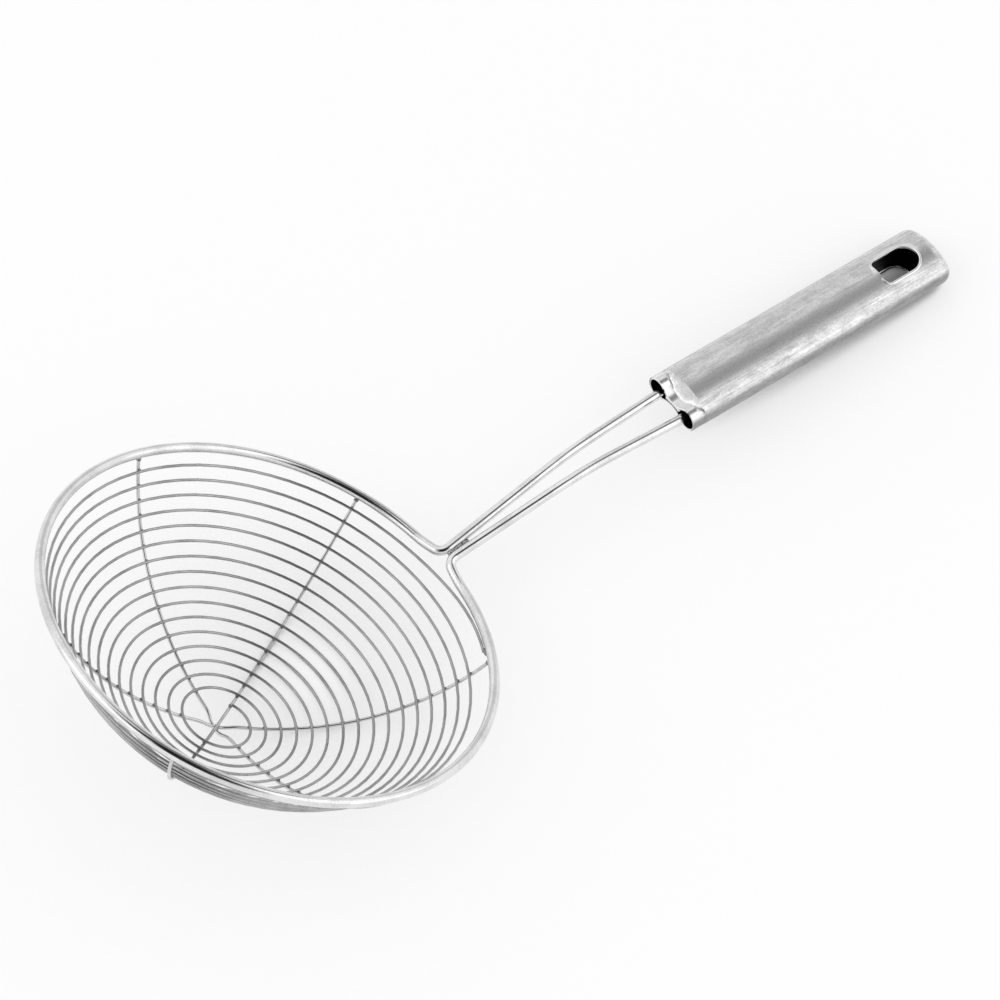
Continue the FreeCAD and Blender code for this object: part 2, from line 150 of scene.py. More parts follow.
class SkimmerWelds(PropertyGroup):
    """Sizes of the weld beads between the wires and of the seam at the neck"""

    spot_half: FloatVectorProperty(
        name="Crossing", description="Half length, width and height of a bead between a rib and the spiral",
        default=(0.00078, 0.00074, 0.0004), subtype="XYZ", unit="LENGTH")
    foot_half: FloatVectorProperty(
        name="Rib end", description="Half sizes of a bead between a rib's end and the rim",
        default=(0.0011, 0.0010, 0.0009), subtype="XYZ", unit="LENGTH")
    tail_half: FloatVectorProperty(
        name="Tail", description="Half sizes of the bead between the spiral's end and the rim",
        default=(0.0018, 0.0008, 0.0006), subtype="XYZ", unit="LENGTH")
    hub_half: FloatVectorProperty(
        name="Hub", description="Half sizes of a bead between two ribs at the bowl's bottom",
        default=(0.0009, 0.0009, 0.0004), subtype="XYZ", unit="LENGTH")
    seam_half: FloatVectorProperty(
        name="Neck seam", description="Half sizes of one bead of the seam that joins the rods at the neck",
        default=(0.0013, 0.0012, 0.00125), subtype="XYZ", unit="LENGTH")
    seam_start: FloatProperty(
        name="Seam start", description="From the neck's corner to the first bead of the seam",
        default=0.0026, unit="LENGTH")
    seam_pitch: FloatProperty(
        name="Seam pitch", description="From one bead of the seam to the next",
        default=0.0014, unit="LENGTH")
    seam_beads: IntProperty(
        name="Seam beads", description="Beads in the seam at the neck", default=6, min=2)
    seam_taper: FloatProperty(
        name="Seam taper", description="How much smaller the seam's last bead is than its first",
        default=0.45, min=0, max=1)
    neck_corner: FloatVectorProperty(
        name="Neck corner", description="Where the rim turns into the rods, midway between them",
        default=(0.0788, 0, 0.00165), subtype="TRANSLATION", unit="LENGTH")
    neck_angle: FloatProperty(
        name="Neck angle", description="Rise of the rods at the neck, above the rim's plane",
        default=math.radians(33), subtype="ANGLE")
    unevenness: FloatProperty(
        name="Unevenness", description="How much the beads differ in size", default=0.14, min=0, max=0.5)


class SkimmerHandle(PropertyGroup):
    """Sizes of the handle, with the mouth's centre as zero and X towards the tip"""

    pitch: FloatProperty(
        name="Pitch", description="How far the handle slopes down to its tip as it lies on a table",
        default=math.radians(7.09476), subtype="ANGLE")
    length: FloatProperty(
        name="Length", description="From the mouth to the tip", default=0.118, unit="LENGTH")
    width: FloatProperty(
        name="Width", description="Across the oval tube", default=0.0243, unit="LENGTH")
    thickness: FloatProperty(
        name="Thickness", description="Through the middle of the oval tube", default=0.0135, unit="LENGTH")
    crown: FloatProperty(
        name="Crown", description="Radius of the tube's broad sides", default=0.020, unit="LENGTH")
    wall: FloatProperty(
        name="Wall", description="Thickness of the sheet", default=0.0008, unit="LENGTH")
    slot_length: FloatProperty(
        name="Slot length", description="Length of the hanging slot", default=0.0168, unit="LENGTH")
    slot_width: FloatProperty(
        name="Slot width", description="Width of the hanging slot", default=0.0104, unit="LENGTH")
    slot_corner: FloatProperty(
        name="Slot corner", description="Radius of the slot's corners towards the mouth",
        default=0.002, unit="LENGTH")
    slot_setback: FloatProperty(
        name="Slot setback", description="From the slot's round end to the tip",
        default=0.0091, unit="LENGTH")
    lip_width: FloatProperty(
        name="Lip width", description="Width of the rolled lip round the slot",
        default=0.0012, unit="LENGTH")
    lip_sides: IntProperty(
        name="Lip sides", description="Sides of the rolled lip's round section", default=12, min=6)
    lobe_radius: FloatProperty(
        name="Lobe radius", description="Inside radius of the mouth's two lobes",
        default=0.00355, unit="LENGTH")
    mouth_waist: FloatProperty(
        name="Mouth waist", description="Gap between the sheet's walls midway across the pinched mouth",
        default=0.001, unit="LENGTH")
    seam_width: FloatProperty(
        name="Seam width", description="From the first to the last bead of the seam that closes the waist",
        default=0.0060, unit="LENGTH")
    seam_beads: IntProperty(
        name="Seam beads", description="Beads in the seam that closes the waist", default=7, min=2)
    seam_depth: FloatProperty(
        name="Seam depth", description="Half length of each bead, from the mouth inwards",
        default=0.0009, unit="LENGTH")
    seam_bite: FloatProperty(
        name="Seam bite", description="How far the beads run into the sheet above and below",
        default=0.00015, unit="LENGTH")


class SkimmerFinish(PropertyGroup):
    """Colours of the steel"""

    rim_light: FloatVectorProperty(
        name="Rim, light", description="Polished rim and neck where they are cleanest",
        default=(0.80, 0.80, 0.805), subtype="COLOR", min=0, max=1)
    rim_shade: FloatVectorProperty(
        name="Rim, shade", description="Polished rim and neck where they have dulled",
        default=(0.62, 0.62, 0.63), subtype="COLOR", min=0, max=1)
    wire_light: FloatVectorProperty(
        name="Spiral, light", description="The drawn spiral wire where it is cleanest",
        default=(0.44, 0.44, 0.445), subtype="COLOR", min=0, max=1)
    wire_shade: FloatVectorProperty(
        name="Spiral, shade", description="The drawn spiral wire where it has dulled",
        default=(0.29, 0.29, 0.295), subtype="COLOR", min=0, max=1)
    # The ribs' colours are lighter than the spiral's: partly lighter steel, partly a painted highlight for
    # the glint along the ribs.
    rib_light: FloatVectorProperty(
        name="Rib, light", description="The three ribs where they are cleanest",
        default=(0.62, 0.62, 0.625), subtype="COLOR", min=0, max=1)
    rib_shade: FloatVectorProperty(
        name="Rib, shade", description="The three ribs where they have dulled",
        default=(0.46, 0.46, 0.465), subtype="COLOR", min=0, max=1)
    weld_light: FloatVectorProperty(
        name="Weld, light", description="Weld beads where they are cleanest",
        default=(0.40, 0.385, 0.37), subtype="COLOR", min=0, max=1)
    weld_shade: FloatVectorProperty(
        name="Weld, shade", description="Weld beads where the heat has tinted them",
        default=(0.13, 0.12, 0.115), subtype="COLOR", min=0, max=1)
    seam_light: FloatVectorProperty(
        name="Seam, light", description="The neck's seam where it has been ground bright",
        default=(0.60, 0.59, 0.58), subtype="COLOR", min=0, max=1)
    seam_shade: FloatVectorProperty(
        name="Seam, shade", description="The neck's seam in its hollows",
        default=(0.26, 0.25, 0.24), subtype="COLOR", min=0, max=1)
    handle_light: FloatVectorProperty(
        name="Handle, light", description="Satin handle in its bright brush lines",
        default=(0.86, 0.86, 0.865), subtype="COLOR", min=0, max=1)
    handle_shade: FloatVectorProperty(
        name="Handle, shade", description="Satin handle in its dull brush lines",
        default=(0.50, 0.50, 0.505), subtype="COLOR", min=0, max=1)
    # The narrow sides' colours are painted shade: darker than the broad faces, standing in for the dark
    # reflections along the tube's edges.
    painted_side_shade_light: FloatVectorProperty(
        name="Sides, light", description="The tube's narrow sides in their bright lines",
        default=(0.43, 0.43, 0.435), subtype="COLOR", min=0, max=1)
    painted_side_shade_dark: FloatVectorProperty(
        name="Sides, shade", description="The tube's narrow sides in their dull lines",
        default=(0.25, 0.25, 0.255), subtype="COLOR", min=0, max=1)
    # The inside colours are painted shade: near black, standing in for the shade inside the hollow tube.
    painted_inside_shade_light: FloatVectorProperty(
        name="Inside, light", description="The tube's shade_painted inside where it is cleanest",
        default=(0.036, 0.036, 0.037), subtype="COLOR", min=0, max=1)
    painted_inside_shade_dark: FloatVectorProperty(
        name="Inside, shade", description="The tube's shade_painted inside where it is dullest",
        default=(0.014, 0.014, 0.015), subtype="COLOR", min=0, max=1)


class SkimmerGrain(PropertyGroup):
    """Marks and wear in the steel, and how rough it is"""

    patch_size: FloatProperty(
        name="Patches", description="Size of the dull patches on the wires", default=0.011, unit="LENGTH")
    mark_size: FloatProperty(
        name="Marks", description="Size of the marks that drawing left on the wires",
        default=0.0006, unit="LENGTH")
    mark_relief: FloatProperty(
        name="Mark relief", description="Depth of the marks on the wires", default=0.00002, unit="LENGTH")
    scale_size: FloatProperty(
        name="Weld scale", description="Size of the scale on the welds", default=0.0009, unit="LENGTH")
    scale_relief: FloatProperty(
        name="Scale relief", description="Depth of the scale on the welds", default=0.00008, unit="LENGTH")
    line_size: FloatVectorProperty(
        name="Brush lines", description="Length, width and depth of the handle's brush lines",
        default=(0.030, 0.00045, 0.00045), subtype="XYZ", unit="LENGTH")
    scuff_size: FloatVectorProperty(
        name="Scuffs", description="Length, width and depth of the handle's scuffs",
        default=(0.006, 0.0022, 0.0022), subtype="XYZ", unit="LENGTH")
    pit_size: FloatVectorProperty(
        name="Pits", description="Length, width and depth of the handle's fine pits",
        default=(0.0009, 0.0006, 0.0006), subtype="XYZ", unit="LENGTH")
    brush_relief: FloatProperty(
        name="Brush relief", description="Depth of the handle's marks", default=0.00005, unit="LENGTH")
    slot_wear: FloatProperty(
        name="Slot wear", description="How much brighter the handle is worn round its slot",
        default=0.30, min=0, max=1)
    mouth_wear: FloatProperty(
        name="Mouth wear", description="How much brighter the handle is worn at its mouth",
        default=0.25, min=0, max=1)
    mouth_wear_edge: FloatVectorProperty(
        name="Mouth wear edge", description="From the mouth to where its wear fades and where it ends",
        size=2, default=(0.002, 0.0052), unit="LENGTH")
    rim_roughness: FloatVectorProperty(
        name="Rim roughness", description="Roughness of the rim, clean and dull",
        size=2, default=(0.09, 0.20), min=0, max=1)
    rib_roughness: FloatVectorProperty(
        name="Rib roughness", description="Roughness of the ribs, clean and dull",
        size=2, default=(0.16, 0.28), min=0, max=1)
    wire_roughness: FloatVectorProperty(
        name="Spiral roughness", description="Roughness of the spiral, clean and dull",
        size=2, default=(0.20, 0.34), min=0, max=1)
    weld_roughness: FloatVectorProperty(
        name="Weld roughness", description="Roughness of the welds, clean and dull",
        size=2, default=(0.32, 0.55), min=0, max=1)
    handle_roughness: FloatVectorProperty(
        name="Handle roughness", description="Roughness of the handle, worn and dull",
        size=2, default=(0.24, 0.42), min=0, max=1)


class SkimmerStage(PropertyGroup):
    """Floor, light and camera"""

    floor_size: FloatProperty(
        name="Floor", description="Length of the floor's side", default=24, unit="LENGTH")
    floor_colour: FloatVectorProperty(
        name="Floor colour", description="Colour of the floor", default=(0.58, 0.58, 0.58),
        subtype="COLOR", min=0, max=1)
    floor_glow: FloatProperty(
        name="Floor glow", description="How far the floor is lifted to white where it is seen",
        default=0.44, min=0, max=1)
    # The contact shadow is painted: within this reach of the skimmer the floor's glow is taken off.
    contact_reach: FloatProperty(
        name="Contact shadow", description="How near the skimmer is where it keeps the glow off the floor",
        default=0.03, unit="LENGTH")
    dome_strength: FloatProperty(
        name="Dome", description="Strength of the even light from all round", default=0.84, min=0)
    near_card: FloatVectorProperty(
        name="Near card", description="Bearing, height and reach of the black card behind the camera",
        default=(math.radians(225), math.radians(61), math.radians(30)), unit="ROTATION")
    near_card_light: FloatProperty(
        name="Near card light", description="How light the card behind the camera is",
        default=0.02, min=0, max=1)
    top_card: FloatVectorProperty(
        name="Top card", description="Bearing, height and reach of the black card overhead",
        default=(math.radians(325), math.radians(79), math.radians(11.5)), unit="ROTATION")
    top_card_light: FloatProperty(
        name="Top card light", description="How light the card overhead is",
        default=0.06, min=0, max=1)
    far_card: FloatVectorProperty(
        name="Far card", description="Bearing, height and reach of the dark card beyond the handle",
        default=(math.radians(11), math.radians(54), math.radians(17)), unit="ROTATION")
    far_card_light: FloatProperty(
        name="Far card light", description="How light the card beyond the handle is",
        default=0.20, min=0, max=1)
    low_card: FloatVectorProperty(
        name="Low card", description="Bearing, height and reach of the grey card below the far one",
        default=(math.radians(42), math.radians(15), math.radians(22)), unit="ROTATION")
    low_card_light: FloatProperty(
        name="Low card light", description="How light the card below the far one is",
        default=0.72, min=0, max=1)
    key_power: FloatProperty(
        name="Key lamp", description="Power of the soft lamp beside the handle, in watts", default=6, min=0)
    key_place: FloatVectorProperty(
        name="Key lamp place", description="Where the lamp beside the handle hangs",
        default=(1.20, -1.40, 1.35), subtype="TRANSLATION", unit="LENGTH")
    key_size: FloatProperty(
        name="Key lamp size", description="Length of that lamp's side", default=2.4, unit="LENGTH")
    fill_power: FloatProperty(
        name="Fill lamp", description="Power of the soft lamp beside the bowl, in watts", default=7, min=0)
    fill_place: FloatVectorProperty(
        name="Fill lamp place", description="Where the lamp beside the bowl hangs",
        default=(-1.80, 0.66, 1.30), subtype="TRANSLATION", unit="LENGTH")
    fill_size: FloatProperty(
        name="Fill lamp size", description="Length of that lamp's side", default=2.2, unit="LENGTH")
    camera_place: FloatVectorProperty(
        name="Camera place", description="Where the camera stands",
        default=(-0.534125, -0.665205, 1.466408), subtype="TRANSLATION", unit="LENGTH")
    camera_turn: FloatVectorProperty(
        name="Camera turn", description="How the camera is turned",
        default=(math.radians(30.51961), math.radians(-0.20925), math.radians(-37.71989)), subtype="EULER")
    camera_lens: FloatProperty(
        name="Lens", description="Focal length in millimetres", default=180, min=1)


# Wire tools

def ring_at(mesh, start, heading, half, sides):
    """A round section square to the wire's line, to draw the wire from."""
    square_on = Matrix.Translation(start) @ heading.to_track_quat("Z", "Y").to_matrix().to_4x4()
    made = bmesh.ops.create_circle(mesh, segments=sides, radius=half, matrix=square_on)
    edges = {edge for vert in made["verts"] for edge in vert.link_edges}
    return made["verts"] + list(edges)


def draw_arc(mesh, ring, start, heading, end, step):
    """Draws a wire on from its last ring along the arc that leaves along heading and reaches end."""
    chord = end - start
    half_turn = heading.angle(chord)
    axis = heading.cross(chord).normalized()
    centre = start + axis.cross(heading) * (chord.length / (2 * math.sin(half_turn)))
    made = bmesh.ops.spin(
        mesh, geom=ring, cent=centre, axis=axis, angle=2 * half_turn,
        steps=max(2, math.ceil(2 * half_turn / step)))
    leaving = Quaternion(axis, 2 * half_turn) @ heading
    return made["geom_last"], leaving


def draw_run(mesh, ring, run):
    """Draws a wire straight on from its last ring."""
    edges = [part for part in ring if isinstance(part, bmesh.types.BMEdge)]
    made = bmesh.ops.extrude_edge_only(mesh, edges=edges)
    verts = [part for part in made["geom"] if isinstance(part, bmesh.types.BMVert)]
    bmesh.ops.translate(mesh, verts=verts, vec=run)
    edges = [part for part in made["geom"] if isinstance(part, bmesh.types.BMEdge)]
    across = [edge for edge in edges if edge.verts[0] in verts and edge.verts[1] in verts]
    return verts + across


def close_wire_ends(mesh, half):
    """Closes a wire's two cut ends and takes off their burr."""
    rim_edges = [edge for edge in mesh.edges if edge.is_boundary]
    bmesh.ops.holes_fill(mesh, edges=rim_edges, sides=0)
    bmesh.ops.bevel(
        mesh, geom=rim_edges, offset=half * BURR_SHARE, segments=2, profile=0.5, affect="EDGES", material=-1)


def add_bead(mesh, place, outward, along, half_sizes):
    """A flattened bead that bridges two wires or two walls."""
    up = outward.normalized()
    forward = (along - up * along.dot(up)).normalized()
    basis = Matrix((forward, up.cross(forward), up)).transposed().to_4x4()
    shape = Matrix.Translation(place) @ basis @ Matrix.Diagonal((*half_sizes, 1))
    bmesh.ops.create_uvsphere(mesh, u_segments=BEAD_SIDES, v_segments=BEAD_RINGS, radius=1, matrix=shape)


def finished_piece(name, mesh, finish):
    """Makes the modelled mesh a piece of the skimmer, at the origin, that moves with the rest."""
    bmesh.ops.recalc_face_normals(mesh, faces=mesh.faces)
    for face in mesh.faces:
        face.smooth = True
    data = bpy.data.meshes.new(name)
    mesh.to_mesh(data)
    mesh.free()
    data.set_sharp_from_angle(angle=SHARP_EDGE)
    data.materials.append(finish)
    piece = bpy.data.objects.new(name, data)
    bpy.context.scene.collection.objects.link(piece)
    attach(piece, "root")
    return piece


# The bowl's shape

def turned(angle):
    """The unit vector at an angle round the bowl's axis."""
    return Vector((math.cos(angle), math.sin(angle), 0))


class BowlShape:
    """The round bowl that the spiral is wound in, worked out from its sizes."""

    def __init__(self, sizes):
        self.sizes = sizes
        self.rib_radius = (sizes.rim_radius ** 2 + sizes.bowl_depth ** 2) / (2 * sizes.bowl_depth)
        self.spiral_radius = self.rib_radius - (sizes.rib_wire + sizes.spiral_wire) / 2 - sizes.weld_gap
        self.centre = Vector((0, 0, self.rib_radius - sizes.bowl_depth))
        rim_slope = math.atan2(sizes.rim_radius, self.centre.z)
        outer_reach = self.spiral_radius * rim_slope - sizes.spiral_rim_space
        seat = (sizes.rim_wire + sizes.spiral_wire) / 2 + sizes.weld_gap
        seat_depth = math.sqrt(seat ** 2 - (self.rib_radius - self.spiral_radius) ** 2)
        seat_turn = 2 * math.asin(seat_depth / (2 * math.sqrt(self.rib_radius * self.spiral_radius)))
        self.seat_slope = rim_slope - seat_turn
        self.rib_end_slope = rim_slope - (sizes.rim_wire / 2 + sizes.weld_gap) / self.rib_radius
        self.wound = (2 * math.pi * sizes.spiral_turns + sizes.first_rib_angle
                      - sizes.spiral_end_angle - sizes.spiral_tail_angle)
        self.growth = (outer_reach - sizes.spiral_inner_reach) / self.wound

    def point(self, radius, angle, slope):
        """The point at a radius from the bowl's own centre, at a slope from its bottom."""
        return self.centre + turned(angle) * (radius * math.sin(slope)) + Vector(
            (0, 0, -radius * math.cos(slope)))

    def outward(self, angle, slope):
        """The direction out through the wall there."""
        return turned(angle) * math.sin(slope) + Vector((0, 0, -math.cos(slope)))

    def uphill(self, angle, slope):
        """The direction up the wall there."""
        return turned(angle) * math.cos(slope) + Vector((0, 0, math.sin(slope)))

    def slope_after(self, winding):
        """The spiral's slope after it has wound so far."""
        return (self.sizes.spiral_inner_reach + self.growth * winding) / self.spiral_radius

    def heading(self, angle, slope, growth):
        """The spiral's direction there, as it winds clockwise and outwards."""
        sideways = turned(angle - math.pi / 2) * (self.spiral_radius * math.sin(slope))
        return (sideways + self.uphill(angle, slope) * growth).normalized()

    def spiral_stations(self):
        """Points and directions a quarter turn apart, and the end of the tail on the rim."""
        start = self.sizes.first_rib_angle
        quarters = math.ceil(self.wound / (math.pi / 2))
        stations = []
        for step in range(quarters + 1):
            winding = self.wound * step / quarters
            slope = self.slope_after(winding)
            angle = start - winding
            stations.append((self.point(self.spiral_radius, angle, slope),
                             self.heading(angle, slope, self.growth)))
        end = start - self.wound - self.sizes.spiral_tail_angle
        stations.append((self.point(self.spiral_radius, end, self.seat_slope),
                         self.heading(end, self.seat_slope, 0)))
        return stations

    def rib_directions(self):
        """The angles round the bowl at which a rib meets the rim."""
        count = len(RIB_NODES)
        return [self.sizes.first_rib_angle + math.pi * order / count for order in range(2 * count)]

    def to_table(self):
        """From the bowl's frame to the skimmer as it lies on the table."""
        return Matrix.Translation(self.sizes.table_place) @ Matrix.Rotation(self.sizes.tilt, 4, "Y")


def halfway(start, heading, end, leaving):
    """Where two tangent arcs of equal reach meet between two points."""
    span = end - start
    closing = 1 - heading.dot(leaving)
    along = span.dot(heading + leaving)
    reach = (math.sqrt(along ** 2 + 2 * closing * span.dot(span)) - along) / (2 * closing)
    return (start + heading * reach + end - leaving * reach) / 2


# Finishes

def new_finish(name):
    """A material with an empty steel shader, as its node tree, shader and object coordinates."""
    finish = bpy.data.materials.new(name)
    finish.use_nodes = True
    tree = finish.node_tree
    shader = tree.nodes["Principled BSDF"]
    shader.inputs["Metallic"].default_value = 1
    coordinates = tree.nodes.new("ShaderNodeTexCoord")
    return finish, tree, shader, coordinates.outputs["Object"]


def laid_pattern(tree, coordinates, feature, turn=(0, 0, 0), place=(0, 0, 0)):
    """Coordinates in which one unit is the size of a feature, turned and placed on the piece."""
    mapping = tree.nodes.new("ShaderNodeMapping")
    mapping.vector_type = "TEXTURE"
    mapping.inputs["Location"].default_value = place
    mapping.inputs["Rotation"].default_value = turn
    mapping.inputs["Scale"].default_value = feature
    tree.links.new(coordinates, mapping.inputs["Vector"])
    return mapping.outputs["Vector"]


def distance_in(tree, pattern):
    """How far a place lies from a pattern's zero."""
    length = tree.nodes.new("ShaderNodeVectorMath")
    length.operation = "LENGTH"
    tree.links.new(pattern, length.inputs[0])
    return length.outputs["Value"]


def mottle(tree, pattern, detail=3, roughness=0.55):
    """Soft random shade over a pattern's coordinates."""
    noise = tree.nodes.new("ShaderNodeTexNoise")
    noise.inputs["Scale"].default_value = 1
    noise.inputs["Detail"].default_value = detail
    noise.inputs["Roughness"].default_value = roughness
    tree.links.new(pattern, noise.inputs["Vector"])
    return noise.outputs["Fac"]


def spread(tree, value, low, high, first=0.3, last=0.7):
    """A value stretched from first..last to low..high."""
    stretch = tree.nodes.new("ShaderNodeMapRange")
    stretch.interpolation_type = "SMOOTHSTEP"
    for name, number in (("From Min", first), ("From Max", last), ("To Min", low), ("To Max", high)):
        stretch.inputs[name].default_value = number
    tree.links.new(value, stretch.inputs["Value"])
    return stretch.outputs["Result"]


def together(tree, operation, first, second):
    """Two values put together."""
    joined = tree.nodes.new("ShaderNodeMath")
    joined.operation = operation
    joined.use_clamp = True
    for socket, value in zip(joined.inputs, (first, second)):
        if isinstance(value, (int, float)):
            socket.default_value = value
        else:
            tree.links.new(value, socket)
    return joined.outputs["Value"]


def weighed(tree, parts):
    """Several values added up, each with its weight."""
    total = 0
    for value, weight in parts:
        total = together(tree, "ADD", total, together(tree, "MULTIPLY", value, weight))
    return total


def shaded(tree, factor, shade, light, first=0.3, last=0.7):
    """A colour between a shade and a light one."""
    ramp = tree.nodes.new("ShaderNodeValToRGB")
    dark_end, light_end = ramp.color_ramp.elements
    dark_end.position = first
    dark_end.color = (*shade, 1)
    light_end.position = last
    light_end.color = (*light, 1)
    tree.links.new(factor, ramp.inputs["Fac"])
    return ramp.outputs["Color"]


def over(tree, cover, bare, finished):
    """A finished colour where it covers, and elsewhere the bare one."""
    layers = tree.nodes.new("ShaderNodeMix")
    layers.data_type = "RGBA"
    for value, index in zip((cover, bare, finished), MIX_COLOUR_INPUTS):
        tree.links.new(value, layers.inputs[index])
    return layers.outputs[MIX_COLOUR_OUTPUT]


def raised_by(tree, shader, height, strength, depth):
    """Fine relief on the surface."""
    bump = tree.nodes.new("ShaderNodeBump")
    bump.inputs["Strength"].default_value = strength
    bump.inputs["Distance"].default_value = depth
    tree.links.new(height, bump.inputs["Height"])
    tree.links.new(bump.outputs["Normal"], shader.inputs["Normal"])


def wire_steel(name, light, shade, roughness):
    """Wire: clean steel with faint dull patches and fine drawing marks."""
    if name in bpy.data.materials:
        return bpy.data.materials[name]
    grain = bpy.context.scene.skimmer_grain
    smooth, dull = roughness
    finish, tree, shader, coordinates = new_finish(name)
    patches = mottle(tree, laid_pattern(tree, coordinates, [grain.patch_size] * 3), detail=4)
    marks = mottle(tree, laid_pattern(tree, coordinates, [grain.mark_size] * 3), detail=2)
    clean = weighed(tree, ((patches, PATCH_SHARE), (marks, MARK_SHARE)))
    tree.links.new(shaded(tree, clean, shade, light, *WIRE_TONES), shader.inputs["Base Color"])
    tree.links.new(spread(tree, clean, dull, smooth, *WIRE_GLOSS), shader.inputs["Roughness"])
    raised_by(tree, shader, marks, WIRE_BUMP, grain.mark_relief)
    return finish


def polished_rim_steel():
    """The thick wire, polished."""
    colours = bpy.context.scene.skimmer_finish
    roughness = bpy.context.scene.skimmer_grain.rim_roughness
    return wire_steel("polished_rim_steel", colours.rim_light, colours.rim_shade, roughness)


def smooth_rib_steel():
    """The ribs, a little brighter than the spiral: partly lighter steel, partly a painted highlight for the
    glint they catch.
    """
    colours = bpy.context.scene.skimmer_finish
    roughness = bpy.context.scene.skimmer_grain.rib_roughness
    return wire_steel("smooth_rib_steel", colours.rib_light, colours.rib_shade, roughness)


def drawn_wire_steel():
    """The spiral wire, dull as it is drawn."""
    colours = bpy.context.scene.skimmer_finish
    roughness = bpy.context.scene.skimmer_grain.wire_roughness
    return wire_steel("drawn_wire_steel", colours.wire_light, colours.wire_shade, roughness)


def weld_steel(name, light, shade):
    """Weld metal: dull steel with a rough scale in patches."""
    grain = bpy.context.scene.skimmer_grain
    smooth, dull = grain.weld_roughness
    finish, tree, shader, coordinates = new_finish(name)
    scale = mottle(tree, laid_pattern(tree, coordinates, [grain.scale_size] * 3), detail=4)
    tree.links.new(shaded(tree, scale, shade, light, *WELD_TONES), shader.inputs["Base Color"])
    tree.links.new(spread(tree, scale, dull, smooth), shader.inputs["Roughness"])
    raised_by(tree, shader, scale, WELD_BUMP, grain.scale_relief)
    return finish


def heat_tinted_weld():
    """Spot welds, darkened by the heat."""
    colours = bpy.context.scene.skimmer_finish
    return weld_steel("heat_tinted_weld", colours.weld_light, colours.weld_shade)


def ground_seam():
    """The neck's seam, ground lighter."""
    colours = bpy.context.scene.skimmer_finish
    return weld_steel("ground_seam", colours.seam_light, colours.seam_shade)


def brushed_handle_steel():
    """Satin sheet: brush lines along the handle, dull patches, bright wear at the slot and the mouth, narrow
    sides painted darker as shade, and an inside painted near black as shade.
    """
    name = "brushed_handle_steel"
    if name in bpy.data.materials:
        return bpy.data.materials[name]
    colours = bpy.context.scene.skimmer_finish
    grain = bpy.context.scene.skimmer_grain
    sizes = bpy.context.scene.skimmer_handle
    turn = (0, sizes.pitch, 0)
    finish, tree, shader, coordinates = new_finish(name)
    lines = mottle(tree, laid_pattern(tree, coordinates, grain.line_size, turn), detail=5)
    scuffs = mottle(tree, laid_pattern(tree, coordinates, grain.scuff_size, turn), detail=4)
    pits = mottle(tree, laid_pattern(tree, coordinates, grain.pit_size, turn), detail=2)
    marks = weighed(tree, ((lines, LINE_SHARE), (scuffs, SCUFF_SHARE), (pits, PIT_SHARE)))

    slot_middle = sizes.length - sizes.slot_setback - sizes.slot_length / 2
    frame_on_table = handle_frame()
    length_share, width_share = SLOT_WEAR_SHARES
    rubbed = laid_pattern(
        tree, coordinates,
        (sizes.slot_length * length_share, sizes.slot_width * width_share, sizes.thickness), turn,
        frame_on_table @ Vector((slot_middle, 0, 0)))
    slot_wear = spread(tree, distance_in(tree, rubbed), grain.slot_wear, 0, *SLOT_WEAR_EDGE)
    from_mouth = laid_pattern(tree, coordinates, (1, 1, 1), turn, frame_on_table.translation)
    apart = tree.nodes.new("ShaderNodeSeparateXYZ")
    tree.links.new(from_mouth, apart.inputs["Vector"])
    mouth_wear = spread(tree, apart.outputs["X"], grain.mouth_wear, 0, *grain.mouth_wear_edge)
    worn = together(tree, "ADD", marks, together(tree, "MAXIMUM", slot_wear, mouth_wear))

    # Painted shade: ambient occlusion over the handle alone finds the tube's enclosed inside and colours it
    # near black; the share named polished is the open outside, clear of that painted shade.
    shade_occlusion = tree.nodes.new("ShaderNodeAmbientOcclusion")
    shade_occlusion.only_local = True
    shade_occlusion.inputs["Distance"].default_value = sizes.length / 2
    polished = spread(tree, shade_occlusion.outputs["AO"], 0, 1, *PAINTED_INSIDE_SHADE_EDGE)
    from_middle = together(tree, "ABSOLUTE", apart.outputs["Y"], 0)
    # Painted shade: the narrow sides get a darker colour, standing in for the dark reflections along the
    # tube's edges; the share named brushed is the broad faces, clear of that painted shade.
    brushed = spread(tree, from_middle, 1, 0, *[sizes.width * share for share in PAINTED_SIDE_SHADE_EDGE])
    broad = shaded(tree, worn, colours.handle_shade, colours.handle_light, *HANDLE_TONES)
    sides = shaded(tree, marks, colours.painted_side_shade_dark, colours.painted_side_shade_light, *HANDLE_TONES)
    inside = shaded(tree, marks, colours.painted_inside_shade_dark, colours.painted_inside_shade_light, *HANDLE_TONES)
    outside = over(tree, brushed, sides, broad)
    tree.links.new(over(tree, polished, inside, outside), shader.inputs["Base Color"])
    smooth, dull = grain.handle_roughness
    tree.links.new(spread(tree, worn, dull, smooth, *HANDLE_GLOSS), shader.inputs["Roughness"])
    raised_by(tree, shader, marks, HANDLE_BUMP, grain.brush_relief)
    return finish


def handle_frame():
    """The handle's own frame as it lies on the table, found from its node."""
    turn = Matrix.Rotation(bpy.context.scene.skimmer_handle.pitch, 3, "Y")
    back = turn.transposed()
    places = [back @ vertex.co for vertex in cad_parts["handle"].data.vertices]
    mouth = min(place.x for place in places)
    level = (min(place.z for place in places) + max(place.z for place in places)) / 2
    return turn.to_4x4() @ Matrix.Translation((mouth, 0, level))


def refinish(node, finish):
    """Gives a node of the frame its finish."""
    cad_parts[node].material_slots[0].material = finish


# Operators

